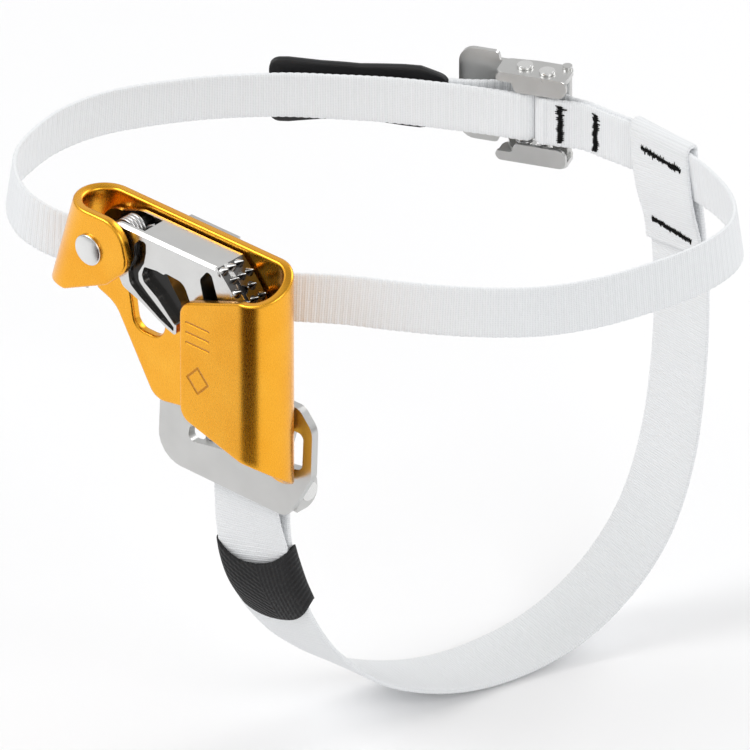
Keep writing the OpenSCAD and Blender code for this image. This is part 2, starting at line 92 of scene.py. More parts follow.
AZIMUTH, ELEVATION = math.radians(42), math.radians(31)
CAMERA_DISTANCE = 8.0
FOCAL_MM, SENSOR_MM = 1267, 36
AIM_RIGHT, AIM_UP = 34.5, 2.6
FLOOR_GAP = 0.001


def aim(obj, target):
    """Turns a camera or light at obj.location towards a point."""
    obj.rotation_euler = (Vector(target) - obj.location).to_track_quat("-Z", "Y").to_euler()


def add_camera():
    """The camera at the product view: from the front right and above, with a long lens."""
    toward = Vector((math.sin(AZIMUTH) * math.cos(ELEVATION), -math.cos(AZIMUTH) * math.cos(ELEVATION),
                     math.sin(ELEVATION)))
    right = Vector((math.cos(AZIMUTH), math.sin(AZIMUTH), 0))
    target = (right * AIM_RIGHT + toward.cross(right) * AIM_UP) * MM
    data = bpy.data.cameras.new("camera")
    data.lens, data.sensor_width = FOCAL_MM, SENSOR_MM
    data.clip_end = 20
    camera = bpy.data.objects.new("camera", data)
    bpy.context.scene.collection.objects.link(camera)
    camera.location = target + toward * CAMERA_DISTANCE
    aim(camera, target)
    bpy.context.scene.camera = camera


def node(tree, kind, inputs=None, **settings):
    """Adds a shader node. An input is a plain value, or the socket that feeds it."""
    made = tree.nodes.new("ShaderNode" + kind)
    for key, value in settings.items():
        setattr(made, key, value)
    for key, value in (inputs or {}).items():
        if isinstance(value, bpy.types.NodeSocket):
            tree.links.new(value, made.inputs[key])
        else:
            made.inputs[key].default_value = value
    return made


def maths(tree, operation, *values):
    """A Math node's result. Each value is a number or a socket."""
    return node(tree, "Math", dict(enumerate(values)), operation=operation).outputs[0]


def ramp(tree, factor, stops, smooth=False):
    """A colour ramp's result, with stops of (place, grey or colour)."""
    made = node(tree, "ValToRGB", {"Fac": factor})
    made.color_ramp.interpolation = "EASE" if smooth else "LINEAR"
    elements = made.color_ramp.elements
    for i, (place, value) in enumerate(stops):
        element = elements[i] if i < 2 else elements.new(place)
        element.position = place
        element.color = (value, value, value, 1) if isinstance(value, (int, float)) else (*value, 1)
    return made.outputs["Color"]


def add_light(name, place, target, size, power):
    data = bpy.data.lights.new(name, "AREA")
    data.shape, data.size = "DISK", size
    data.energy = power
    light = bpy.data.objects.new(name, data)
    bpy.context.scene.collection.objects.link(light)
    light.location = place
    aim(light, target)


def add_card(floor_z):
    """A brown card in front of the frame, which only reflections see. It fades out towards its sides."""
    wide, high, away, gap = 0.25, 0.15, 0.16, 0.004
    full_to, gone_from = 0.28, 0.5
    bpy.ops.mesh.primitive_plane_add(size=1)
    card = bpy.context.object
    card.name = "wide_card"
    card.scale = (wide, high, 1)
    card.location = (0, -away, floor_z + high / 2 + gap)
    card.rotation_euler = (math.radians(90), 0, 0)
    felt, tree, shader = new_material("wide_card_felt", Base_Color=(0.045, 0.011, 0.003, 1), Roughness=1.0)
    across = node(tree, "SeparateXYZ", {0: node(tree, "TexCoord").outputs["Object"]}).outputs["X"]
    shown = smooth_step(tree, maths(tree, "ABSOLUTE", across), gone_from, full_to)
    tree.links.new(shown, shader.inputs["Alpha"])
    card.data.materials.append(felt)
    card.visible_camera = card.visible_diffuse = card.visible_shadow = False


def add_studio():
    """A pale floor, a soft sky that is dimmer low down, and large soft lamps."""
    world = bpy.data.worlds.new("studio")
    bpy.context.scene.world = world
    world.use_nodes = True
    tree = world.node_tree
    tree.nodes.clear()
    direction = node(tree, "TexCoord").outputs["Generated"]
    height = node(tree, "SeparateXYZ", {0: direction}).outputs["Z"]
    sky = ramp(tree, height, [(0.0, 0.35), (0.25, 0.72), (0.5, 0.8), (1.0, 0.4)], smooth=True)
    light = node(tree, "Background", {"Color": sky, "Strength": 1.0}).outputs[0]
    node(tree, "OutputWorld", {"Surface": light})

    floor_z = cad_box[0].z - FLOOR_GAP
    bpy.ops.mesh.primitive_circle_add(vertices=96, radius=6, fill_type="NGON", location=(0, 0, floor_z))
    floor = bpy.context.object
    floor.name = "floor"
    paint, _, _ = new_material("floor_paint", Base_Color=(0.93, 0.93, 0.935, 1), Roughness=0.9)
    floor.data.materials.append(paint)

    middle = (0, 0.05, 0)
    add_light("key", (-0.9, -0.9, 1.3), middle, 1.1, 13)
    add_light("fill", (1.3, -0.2, 0.9), middle, 1.0, 5)
    add_light("back", (0.2, 1.5, 1.1), middle, 1.2, 9)

    # The card gives the bright metal a dark band to reflect.
    add_card(floor_z)
    bpy.context.scene.view_settings.view_transform = "Standard"


# ---- materials ----

def new_material(name, **sockets):
    """A Principled material. Returns it with its tree and shader."""
    made = bpy.data.materials.new(name)
    made.use_nodes = True
    shader = made.node_tree.nodes["Principled BSDF"]
    for key, value in sockets.items():
        shader.inputs[key.replace("_", " ")].default_value = value
    return made, made.node_tree, shader


def place_mm(tree):
    """The surface point in the row frame, in millimetres, as three sockets."""
    point = node(tree, "TexCoord").outputs["Object"]
    split = node(tree, "SeparateXYZ", {0: point})
    return [maths(tree, "MULTIPLY", split.outputs[axis], 1 / MM) for axis in "XYZ"]


def noise(tree, scale, detail, stretch=(1, 1, 1)):
    """Noise over the row frame, with scale in cells per metre."""
    point = node(tree, "TexCoord").outputs["Object"]
    spread = node(tree, "Mapping", {"Vector": point, "Scale": stretch}).outputs[0]
    return node(tree, "TexNoise", {"Vector": spread, "Scale": scale, "Detail": detail}).outputs["Fac"]


def set_bump(tree, shader, height, strength, distance):
    bump = node(tree, "Bump", {"Height": height, "Strength": strength, "Distance": distance})
    tree.links.new(bump.outputs[0], shader.inputs["Normal"])


def smooth_step(tree, value, low, high):
    """0 below low, 1 above high, smooth between."""
    return node(tree, "MapRange", {"Value": value, "From Min": low, "From Max": high},
                interpolation_type="SMOOTHSTEP").outputs[0]


def line_distance(tree, x, z, start, end):
    """Distance of the surface point from a line drawn on the lip, in millimetres."""
    span = (end[0] - start[0], end[1] - start[1])
    length_sq = span[0] ** 2 + span[1] ** 2
    dx = maths(tree, "SUBTRACT", x, start[0])
    dz = maths(tree, "SUBTRACT", z, start[1])
    along = maths(tree, "ADD", maths(tree, "MULTIPLY", dx, span[0] / length_sq),
                  maths(tree, "MULTIPLY", dz, span[1] / length_sq))
    kept = node(tree, "Clamp", {"Value": along}).outputs[0]
    off_x = maths(tree, "SUBTRACT", dx, maths(tree, "MULTIPLY", kept, span[0]))
    off_z = maths(tree, "SUBTRACT", dz, maths(tree, "MULTIPLY", kept, span[1]))
    return maths(tree, "SQRT", maths(tree, "ADD", maths(tree, "MULTIPLY", off_x, off_x),
                                     maths(tree, "MULTIPLY", off_z, off_z)))


# Plain ornament pressed into the lip, as lines of (x, z): three level bars and a lozenge.
BARS = [[(-21.5, level), (-12.5, level)] for level in (10.5, 14.0, 17.5)]
LOZENGE = [[(-17.0, 3.0), (-12.8, -1.5), (-17.0, -6.0), (-21.2, -1.5), (-17.0, 3.0)]]
MARK_HALF_WIDTH = 0.36


def anodised():
    made, tree, shader = new_material("anodised_orange", Metallic=1.0, Roughness=0.27, Coat_Weight=0.22,
                                      Coat_Roughness=0.18)
    x, y, z = place_mm(tree)
    distance = None
    for line in BARS + LOZENGE:
        for start, end in zip(line, line[1:]):
            one = line_distance(tree, x, z, start, end)
            distance = one if distance is None else maths(tree, "MINIMUM", distance, one)
    outside = smooth_step(tree, distance, MARK_HALF_WIDTH * 0.5, MARK_HALF_WIDTH * 1.4)
    front = maths(tree, "LESS_THAN", y, -CHANNEL_R - PLATE_T + 0.3)
    groove = maths(tree, "MULTIPLY", maths(tree, "SUBTRACT", 1.0, outside), front)
    cloud = noise(tree, 60, 2)
    shade = ramp(tree, cloud, [(0.3, (0.91, 0.40, 0.02)), (0.7, (0.96, 0.46, 0.035))])
    # Painted shade: the pressed grooves of the ornament are coloured dark brown.
    groove_shade_mix = {"Factor": maths(tree, "MULTIPLY", groove, 0.6), "A": shade, "B": (0.36, 0.10, 0.004, 1)}
    groove_shaded = node(tree, "Mix", groove_shade_mix, data_type="RGBA").outputs["Result"]
    tree.links.new(groove_shaded, shader.inputs["Base Color"])
    grain = noise(tree, 2600, 2, (1, 1, 0.25))
    rough = node(tree, "MapRange", {"Value": grain, "To Min": 0.24, "To Max": 0.31}).outputs[0]
    tree.links.new(rough, shader.inputs["Roughness"])
    height = maths(tree, "SUBTRACT", maths(tree, "MULTIPLY", grain, 0.004), groove)
    set_bump(tree, shader, height, 0.9, 0.00022)
    return made


def tumbled_steel(name, base, low, high, grain_size, depth, recess=None):
    """Bare steel with a fine grain and small dents. recess gives a mask socket of places painted dark:
    painted shade in recesses, and the cam's darker nose face.
    """
    made, tree, shader = new_material(name, Metallic=1.0)
    grain = noise(tree, grain_size, 2)
    patch = noise(tree, 90, 2)
    rough = node(tree, "MapRange", {"Value": grain, "To Min": low, "To Max": high}).outputs[0]
    tree.links.new(rough, shader.inputs["Roughness"])
    shade = ramp(tree, patch, [(0.3, tuple(c * 0.93 for c in base)), (0.7, base)])
    if recess:
        mask = recess(tree)
        # The masked places are mixed to near black: painted shade in recesses, and the cam's darker nose
        # face.
        shade = node(tree, "Mix", {"Factor": mask, "A": shade, "B": (0.035, 0.034, 0.033, 1)},
                     data_type="RGBA").outputs["Result"]
    tree.links.new(shade, shader.inputs["Base Color"])
    set_bump(tree, shader, grain, 0.35, depth)
    return made


def cam_shade_and_dark_nose(tree):
    """Places of the cam painted dark: painted shade in its open flank and inside its spring slot, and its
    nose beside the groove, a darker face.
    """
    y = place_mm(tree)[1]
    facing = node(tree, "SeparateXYZ", {0: node(tree, "NewGeometry").outputs["Normal"]})
    flat_on = smooth_step(tree, maths(tree, "ABSOLUTE", facing.outputs["Y"]), 0.5, 0.9)
    below_flank = smooth_step(tree, y, -CAM_FLANK + 0.25, -CAM_FLANK + 0.7)
    open_side = maths(tree, "LESS_THAN", y, 0.0)
    groove = maths(tree, "MULTIPLY", maths(tree, "MULTIPLY", below_flank, open_side), flat_on)
    in_slot = maths(tree, "LESS_THAN", maths(tree, "ABSOLUTE", y), CAM_SLOT_REACH)
    # Painted shade in the flank's grooves and on the inside of the spring slot.
    dark = maths(tree, "MAXIMUM", groove, maths(tree, "MULTIPLY", in_slot, flat_on))
    reach = node(tree, "VectorMath", {0: node(tree, "TexCoord").outputs["Object"], 1: tuple(PIVOT * MM)},
                 operation="DISTANCE").outputs["Value"]
    off_groove = maths(tree, "ABSOLUTE", maths(tree, "SUBTRACT", y, NOSE_GROOVE_Y))
    nose = maths(tree, "MULTIPLY", smooth_step(tree, reach, NOSE_FROM * MM, NOSE_FULL * MM),
                 smooth_step(tree, off_groove, 0.8, 1.0))
    nose = maths(tree, "MULTIPLY", nose, smooth_step(tree, facing.outputs["X"], 0.35, 0.6))
    return maths(tree, "MAXIMUM", dark, maths(tree, "MULTIPLY", nose, 0.86))


def woven(name, base, rib, yarn, rough, sheen, depth, twill=0.0):
    """Woven tape. Attribute 'lay' is the place along and across the tape, in millimetres."""
    made, tree, shader = new_material(name, Roughness=rough, Sheen_Weight=sheen, Sheen_Roughness=0.4)
    lay = node(tree, "Attribute", attribute_name="lay").outputs["Vector"]
    split = node(tree, "SeparateXYZ", {0: lay})
    along, across = split.outputs["X"], split.outputs["Y"]
    slant = maths(tree, "MULTIPLY", maths(tree, "ABSOLUTE", across), twill)
    weft = maths(tree, "SINE", maths(tree, "MULTIPLY", maths(tree, "ADD", along, slant), 2 * math.pi / rib))
    warp = maths(tree, "SINE", maths(tree, "MULTIPLY", across, 2 * math.pi / yarn))
    weave = maths(tree, "ADD", maths(tree, "MULTIPLY", weft, 0.6), maths(tree, "MULTIPLY", warp, 0.4))
    fuzz = noise(tree, 1800, 4)
    height = maths(tree, "ADD", weave, maths(tree, "MULTIPLY", fuzz, 0.8))
    dip = node(tree, "MapRange", {"Value": height, "From Min": -0.8, "From Max": 1.2}).outputs[0]
    # Painted shade: the weave's low places are coloured darker, and the fuzz also varies the tone at random.
    shade = ramp(tree, dip, [(0.0, tuple(c * 0.86 for c in base)), (0.6, base)])
    tree.links.new(shade, shader.inputs["Base Color"])
    set_bump(tree, shader, height, 0.6, depth)
    return made


def moulded_black():
    made, tree, shader = new_material("moulded_black", Base_Color=(0.012, 0.012, 0.013, 1), Roughness=0.42)
    pits = noise(tree, 3500, 3)
    rough = node(tree, "MapRange", {"Value": pits, "To Min": 0.34, "To Max": 0.52}).outputs[0]
    tree.links.new(rough, shader.inputs["Roughness"])
    set_bump(tree, shader, pits, 0.5, 0.00006)
    return made


def thread():
    made, tree, shader = new_material("black_thread", Roughness=0.9, Specular_IOR_Level=0.15)
    twist = noise(tree, 5200, 2, (1, 1, 3))
    tree.links.new(ramp(tree, twist, [(0.35, 0.001), (0.7, 0.008)]), shader.inputs["Base Color"])
    set_bump(tree, shader, twist, 0.6, 0.0001)
    return made


# ---- mesh helpers ----

def make_mesh(name, points, faces, material, slot, replaced, lay=None, body="frame_body"):
    """Makes a smooth-shaded piece from points in millimetres. It rides on one body of the frame."""
    mesh = bpy.data.meshes.new(name)
    mesh.from_pydata((np.asarray(points) * MM).tolist(), [], [tuple(int(i) for i in f) for f in faces])
    mesh.update()
    mesh.shade_smooth()
    if lay is not None:
        data = mesh.attributes.new("lay", "FLOAT_VECTOR", "POINT")
        data.data.foreach_set("vector", np.c_[np.asarray(lay), np.zeros(len(lay))].astype(np.float32).ravel())
    piece = bpy.data.objects.new(name, mesh)
    bpy.context.scene.collection.objects.link(piece)
    mesh.materials.append(material)
    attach(piece, body)
    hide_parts(*replaced)
    return piece


def unit(v):
    v = np.asarray(v, float)
    return v / np.linalg.norm(v, axis=-1, keepdims=True)


def spline(controls, steps):
    """Catmull-Rom curve through the control rows, as in the CAD source but with more steps."""
    p = np.asarray(controls, float)
    t = (np.arange(steps) / steps)[:, None]
    rows = []
    for i in range(len(p) - 1):
        a, b, c, d = p[max(i - 1, 0)], p[i], p[i + 1], p[min(i + 2, len(p) - 1)]
        rows.append(0.5 * (2 * b + (c - a) * t + (2 * a - 5 * b + 4 * c - d) * t ** 2
                           + (3 * b - a - 3 * c + d) * t ** 3))
    return np.vstack([*rows, p[-1:]])


def evenly(rows, spacing):
    """Resamples rows, whose first three values are a point, to even spacing. Returns rows and distances."""
    reach = np.r_[0, np.cumsum(np.linalg.norm(np.diff(rows[:, :3], axis=0), axis=1))]
    count = max(int(round(reach[-1] / spacing)), 2)
    at = np.linspace(0, reach[-1], count + 1)
    return np.column_stack([np.interp(at, reach, rows[:, k]) for k in range(rows.shape[1])]), at


def section_frames(rows):
    """Centre, across and outward directions of each row [x, y, z, ax, ay, az]."""
    centre = rows[:, :3]
    ahead = np.vstack([centre[1:], centre[-1:]])
    behind = np.vstack([centre[:1], centre[:-1]])
    tangent = unit(ahead - behind)
    across = rows[:, 3:6] - tangent * np.sum(rows[:, 3:6] * tangent, axis=1, keepdims=True)
    across = unit(across)
    return centre, across, np.cross(tangent, across)


def ring_faces(rows, count, closed_ends=True):
    """Quads between rings of count points, with the two end rings as caps."""
    faces = [(r * count + k, r * count + (k + 1) % count,
              (r + 1) * count + (k + 1) % count, (r + 1) * count + k)
             for r in range(rows - 1) for k in range(count)]
    if closed_ends:
        faces.append(tuple(range(count))[::-1])
        faces.append(tuple((rows - 1) * count + k for k in range(count)))
    return faces


def tape_section(columns=11, edge_steps=3):
    """Closed section of a tape in unit sizes: -1 to 1 across, and 1 or -1 for its faces, with round edges."""
    flat_to = 0.94
    flat = np.linspace(-flat_to, flat_to, columns)
    turn = np.linspace(0, math.pi, edge_steps + 2)[1:-1]
    low = [(a, -1.0) for a in flat]
    right = [(flat_to + (1 - flat_to) * math.sin(t), -math.cos(t)) for t in turn]
    high = [(a, 1.0) for a in flat[::-1]]
    left = [(-flat_to - (1 - flat_to) * math.sin(t), math.cos(t)) for t in turn]
    return np.array(low + right + high + left)


# ---- folded frame ----

MID_R = CHANNEL_R + PLATE_T / 2
BEND_LEN = math.pi * MID_R
FOLD_TOP = np.array([FOLD_X, FRAME_TOP])
FOLD_UP = unit([FOLD_RUN, 1.0])
FOLD_OUT = np.array([-FOLD_UP[1], FOLD_UP[0]])
EDGE_R = 0.9
BEND_STEPS = 26


def corner(a, b, c, steps=9):
    """Arc of one corner [x, z, radius] between its neighbours."""
    if b[2] == 0:
        return [np.array(b[:2], float)]
    here = np.array(b[:2], float)
    to_a, to_c = unit(np.array(a[:2]) - here), unit(np.array(c[:2]) - here)
    half = math.acos(float(to_a @ to_c)) / 2
    middle = here + unit(to_a + to_c) * b[2] / math.sin(half)
    start, end = (here + to * b[2] / math.tan(half) - middle for to in (to_a, to_c))
    return [middle + unit(start * (1 - t) + end * t) * b[2] for t in np.linspace(0, 1, steps)]


def rounded(corners, closed=True):
    """Outline through corners [x, z, radius]. An open one keeps its first and last as they are."""
    n = len(corners)
    inner = range(n) if closed else range(1, n - 1)
    arcs = [p for i in inner for p in corner(corners[i - 1], corners[i], corners[(i + 1) % n])]
    return arcs if closed else [np.array(corners[0][:2], float), *arcs, np.array(corners[-1][:2], float)]


def fold_at(z):
    return [FOLD_X - (FRAME_TOP - z) * FOLD_RUN, z, 0]


def fold_flat(turn, z):
    """Flat-pattern place of a point part-way round the pivot-side fold, at a real height z."""
    foot_z = z - FOLD_OUT[1] * MID_R * math.sin(turn)
    return np.array(fold_at(foot_z)[:2]) + FOLD_OUT * MID_R * turn


def unfold_ear(p):
    """Flat-pattern place of a point on the ear."""
    off = float((p - FOLD_TOP) @ FOLD_OUT)
    return p + FOLD_OUT * (BEND_LEN - 2 * off)


def bend(flat, lift):
    """Folds flat-pattern points into place, lifted by some distance off the plate's middle surface."""
    x, z = flat[:, 0], flat[:, 1]
    turn = np.clip(x / MID_R, 0, math.pi)
    sine, cosine = np.sin(turn), np.cos(turn)
    right = x > 0
    radius = MID_R + lift
    out = np.column_stack([np.where(right, radius * sine - np.maximum(x - BEND_LEN, 0), x),
                           radius * cosine, z])
    off = (flat - FOLD_TOP) @ FOLD_OUT
    turn = np.clip(off / MID_R, 0, math.pi)
    run = radius * np.sin(turn) - np.maximum(off - BEND_LEN, 0)
    foot = flat - off[:, None] * FOLD_OUT
    folded = np.column_stack([foot[:, 0] + FOLD_OUT[0] * run, radius * np.cos(turn),
                              foot[:, 1] + FOLD_OUT[1] * run])
    return np.where((off > 0)[:, None], folded, out)


def frame_outline():
    """The frame cut flat: back plate, both bends, ear and lip."""
    turns = np.linspace(0, math.pi, BEND_STEPS)
    share = (1 - np.cos(turns)) / 2
    back = rounded([[0, FRAME_TOP, 0], fold_at(FRAME_TOP)], closed=False)
    fold_high = [fold_flat(t, FRAME_TOP) for t in turns]
    ear = rounded([fold_at(FRAME_TOP), [-49, FRAME_TOP, 9], [-45.5, 26, 7], [-55, 17, 5], fold_at(EAR_LOW)],
                  closed=False)
    fold_low = [fold_flat(t, FOLD_LOW + (EAR_LOW - FOLD_LOW) * s) for t, s in zip(turns, share)][::-1]
    under = rounded([fold_at(FOLD_LOW), [-74.3, 1.5, 1.2], [-66.5, -1.5, 9], [-50.3, -29, 6], [-38.5, -27, 6],
                     [0, BACK_LOW, 0]], closed=False)
    low = [np.array([MID_R * t, BACK_LOW + (LIP_LOW - BACK_LOW) * s]) for t, s in zip(turns, share)]
    lip = rounded([[0, LIP_LOW, 0], [-24.6, -17.1, 5], [-24.6, 23, 6], [0, LIP_TOP, 0]], closed=False)
    lip = [np.array([BEND_LEN - p[0], p[1]]) for p in lip]
    high = [np.array([MID_R * t, FRAME_TOP + (LIP_TOP - FRAME_TOP) * s]) for t, s in zip(turns, share)][::-1]
    runs = [back, fold_high, [unfold_ear(p) for p in ear], fold_low, under, low, lip, high]
    return [p for run in runs for p in run[:-1]]


def resampled(loop, spacing):
    """A closed loop with even spacing between its points."""
    p = np.asarray(loop, float)
    p = np.vstack([p, p[:1]])
    reach = np.r_[0, np.cumsum(np.linalg.norm(np.diff(p, axis=0), axis=1))]
    at = np.linspace(0, reach[-1], int(reach[-1] / spacing) + 1)[:-1]
    return np.column_stack([np.interp(at, reach, p[:, k]) for k in (0, 1)])


def inset(loop, distance):
    """Moves a closed loop's points to its left by a distance."""
    along = unit(np.roll(loop, -1, axis=0) - np.roll(loop, 1, axis=0))
    return loop + distance * np.column_stack([-along[:, 1], along[:, 0]])


def inside(points, loop):
    """True for each point that lies inside a closed loop."""
    x, y = points[:, 0][:, None], points[:, 1][:, None]
    a, b = loop, np.roll(loop, -1, axis=0)
    crosses = (a[:, 1] > y) != (b[:, 1] > y)
    rise = np.where(b[:, 1] == a[:, 1], 1e-9, b[:, 1] - a[:, 1])
    return (np.sum(crosses & (x < (b[:, 0] - a[:, 0]) * (y - a[:, 1]) / rise + a[:, 0]), axis=1) % 2) == 1


def counter_clockwise(loop):
    area = np.sum(loop[:, 0] * np.roll(loop[:, 1], -1) - loop[:, 1] * np.roll(loop[:, 0], -1))
    return loop if area > 0 else loop[::-1]


def circle(centre, radius, count):
    angle = np.linspace(0, 2 * math.pi, count, endpoint=False)
    return np.column_stack([centre[0] + radius * np.cos(angle), centre[1] + radius * np.sin(angle)])


def make_frame(material):
    """The folded plate as one sheet with round edges, meshed flat and then bent."""
    grid, spacing, hole_steps = 1.25, 0.9, 28
    clear = EDGE_R + 0.55
    hole_r = RIVET_R + 0.05
    outer = counter_clockwise(resampled(frame_outline(), spacing))
    window = resampled(rounded([[-61, 13, 4], [-58, -6.5, 4], [-46, -6.5, 5], [-46.5, 8, 5]]), spacing)
    ear_hole = circle(unfold_ear(PIVOT[[0, 2]]), hole_r, hole_steps)
    holes = [window, ear_hole, circle(PIVOT[[0, 2]], hole_r, hole_steps)]
    loops = [outer] + [counter_clockwise(h)[::-1] for h in holes]
    tops = [inset(loop, EDGE_R) for loop in loops]

    low, high = tops[0].min(0), tops[0].max(0)
    rows = np.arange(low[1], high[1], grid)
    lattice = np.array([(x, z) for i, z in enumerate(rows)
                        for x in np.arange(low[0] + (i % 2) * grid / 2, high[0], grid)])
    keep = inside(lattice, inset(loops[0], clear))
    for loop in loops[1:]:
        keep &= ~inside(lattice, inset(loop, clear))
    points = np.vstack(tops + [lattice[keep]])
    starts = np.cumsum([0] + [len(t) for t in tops])
    edges = [(s + k, s + (k + 1) % len(t)) for s, t in zip(starts, tops) for k in range(len(t))]
    found = geometry.delaunay_2d_cdt([Vector(p) for p in points], edges, [], 0, 1e-6)
    flat = np.array([tuple(v) for v in found[0]])
    faces = np.array([f for f in found[2] if len(f) == 3])
    centres = flat[faces].mean(axis=1)
    kept = inside(centres, tops[0])
    for top in tops[1:]:
        kept &= ~inside(centres, top)
    faces = faces[kept]
    a, b, c = (flat[faces[:, k]] for k in range(3))
    turned = (b - a)[:, 0] * (c - a)[:, 1] - (b - a)[:, 1] * (c - a)[:, 0] < 0
    faces[turned] = faces[turned][:, ::-1]
    origin = {i: k for k, whole in enumerate(found[3]) for i in whole}

    half = PLATE_T / 2
    all_points = [bend(flat, half), bend(flat, -half)]
    count = len(flat)
    all_faces = [tuple(f[::-1]) for f in faces] + [tuple(f + count) for f in faces]
    total = 2 * count
    angles = np.radians([30, 60, 90])
    for loop, start in zip(loops, starts):
        n = len(loop)
        rings = [[origin[start + k] for k in range(n)]]
        for side in (1, -1):
            for angle in (angles if side > 0 else angles[::-1]):
                place = inset(loop, EDGE_R * (1 - math.sin(angle)))
                all_points.append(bend(place, side * (half - EDGE_R * (1 - math.cos(angle)))))
                rings.append(list(range(total, total + n)))
                total += n
        rings.append([origin[start + k] + count for k in range(n)])
        for one, two in zip(rings, rings[1:]):
            all_faces += [(one[k], one[(k + 1) % n], two[(k + 1) % n], two[k]) for k in range(n)]
    weigh(make_mesh("frame_plate", np.vstack(all_points), all_faces, material, "anodised_alloy", ["frame"]))


def weigh(piece):
    """Keeps flat faces flat in shading, so only the round edges catch a gradient."""
    piece.modifiers.new("weigh", "WEIGHTED_NORMAL").weight = 80


# ---- straps ----

def buckle_point(u, w):
    """A row [x, y, z, lean] at u along the buckle and w out of it, in the buckle's own axes."""
    cosine, sine = math.cos(BUCKLE_TURN), math.sin(BUCKLE_TURN)
    turn = np.array([[cosine, -sine], [sine, cosine]])
    return [*(BUCKLE_AT[:2] + turn @ np.array([u, w])), BUCKLE_AT[2], 0]


def ankle_rows(steps):
    """Ankle strap's rows [x, y, z, ax, ay, az], from the sewn hem round the ankle to the free end."""
    hem = [buckle_point(*p) for p in [(38, -4.5), (28, -0.95), (22, 1.4), (16, 2.6), (11.5, 4.6)]]
    bar = [buckle_point(BAR_U + BAR_WRAP_R * math.cos(a), BAR_W + BAR_WRAP_R * math.sin(a))
           for a in np.radians(np.arange(60, 301, 40))]
    run = [buckle_point(12, -0.3), buckle_point(20, 0), [-4, 161.6, 15, 0], [8, 162.6, 15, 0],
           [20, 162.3, 15, 0], [33, 160.6, 15, 0.08], [46, 157, 15, 0.14], [58, 151, 15, 0.14],
           [67, 142, 15, 0.14], [70.5, 131, 15, 0.14],
           [70, 117, 15, 0.14], [66.5, 102, 15, 0.14], [61, 86, 15, 0.14], [53, 71.5, 15.2, 0.14],
           [43, 60, 15.6, 0.14], [31, 50, 16, 0.14], [19, 41, 16.8, 0.14], [6, 31.5, 18, 0.12],
           [-5, 21.5, 19, 0.08], [-16, 13.8, 18.6, 0], [-28, 11.45, 17.4, 0], [-45, 11.4, 15.4, 0],
           [-62, 11.6, 13.4, 0], [-78, 12.1, 11.6, 0], [-90, 10.8, 11, 0.06], [-100, 10.6, 11, 0.12],
           [-110, 12.6, 11.4, 0.14], [-119.5, 18.5, 12, 0.14], [-126.5, 27, 13, 0.14],
           [-130, 39, 14, 0.14], [-130.5, 54, 15, 0.14], [-126, 72, 15, 0.14], [-112, 94.5, 15, 0.14],
           [-95.5, 112.5, 15, 0.12], [-81, 123.8, 15, 0.08], [-66, 134.4, 15, 0.04],
           buckle_point(-22, -0.9), buckle_point(-12, -0.2), buckle_point(-5, 0)]
    roller = [buckle_point(WRAP_R * math.cos(a), ROLLER_W + WRAP_R * math.sin(a))
              for a in np.radians(np.arange(-90, 91, 36))]
    tail = [buckle_point(*p) for p in [(-6, 6.9), (-14, 4.2), (-20, 2.6), (-24, 1.9)]]
    path = spline(hem + bar + run + roller + tail, steps)
    inward = unit(LOOP_CENTRE - path[:, :2]) * path[:, 3:4]
    return np.column_stack([path[:, :3], inward, np.ones(len(path))])


def with_heading(path):
    """Rows [x, y, z, heading in degrees] as rows with the direction of the width."""
    heading = np.radians(path[:, 3])
    return np.column_stack([path[:, :3], np.cos(heading), np.sin(heading), np.zeros(len(path))])


def foot_rows(steps):
    """Stirrup strap's rows, from its tail above the keeper, round the pin, under the foot, to its hem."""
    x, y, z = STRAP_PIN
    wrap = STRAP_PIN_R + 0.2 + WEB_T / 2
    tail = [[-14.8, 24, -92, 14], [-16.2, 21.2, -84, 16], [-18.4, 18.3, -71, 12], [-19.2, 19.2, -58, 4]]
    turn = [[x, y + wrap * math.cos(a), z + wrap * math.sin(a), 0]
            for a in np.radians(np.arange(-20, 201, 40))]
    run = [[-19.2, 14.6, -58, 4], [-18.4, 16.3, -71, 12], [-16.4, 19, -84, 16], [-13.9, 24, -98, 12],
           [-10.4, 34, -113, 6], [-4.5, 50, -127, 0], [3, 72, -136, -3], [9, 95, -138.5, -5],
           [15, 118, -134, -7], [20, 137, -122, -8], [24, 150, -104, -8], [26, 158, -80, -8],
           [27, 161.5, -50, -8], [26, 163.2, -25, -6], [24, 163.7, -8, -5], [21.5, 164.3, 4, -4],
           [20, 164.4, 14, -4], [19.4, 164.4, 21, -4]]
    hem_r = 2.1
    hem = [[19.3, 162.3 + hem_r * math.cos(a), 22.6 + hem_r * math.sin(a), -4]
           for a in np.radians(np.arange(20, 161, 35))]
    hem += [[19.4, 160.2, 21, -4], [20, 160.2, 14, -4], [21.5, 160.3, 4, -4], [23.6, 161.6, -7, -5],
            [24.4, 161.8, -13, -5]]
    return with_heading(spline(tail + turn + run + hem, steps))


def make_tape(name, rows, width, rib, rib_depth, material, slot, node_name):
    """Webbing with ribs across it and small scallops along its edges. Returns the piece and its length."""
    scallop = 0.16
    rows, at = evenly(rows, 0.3)
    centre, across, out = section_frames(rows)
    section = tape_section()
    phase = 2 * math.pi * at / rib
    # Ribs are round bundles with narrow valleys between them.
    swell = np.abs(np.cos(phase / 2)) ** 0.7
    half_t = WEB_T / 2 - rib_depth * (1 - swell)
    half_w = width / 2 - scallop * (1 - swell)
    points = (centre[:, None] + section[None, :, 0, None] * (half_w[:, None, None] * across[:, None])
              + section[None, :, 1, None] * (half_t[:, None, None] * out[:, None]))
    count = len(section)
    lay = np.stack(np.broadcast_arrays(at[:, None], section[None, :, 0] * width / 2), axis=-1).reshape(-1, 2)
    piece = make_mesh(name, points.reshape(-1, 3), ring_faces(len(rows), count), material, slot,
                      [node_name], lay)
    return piece, at[-1] * MM


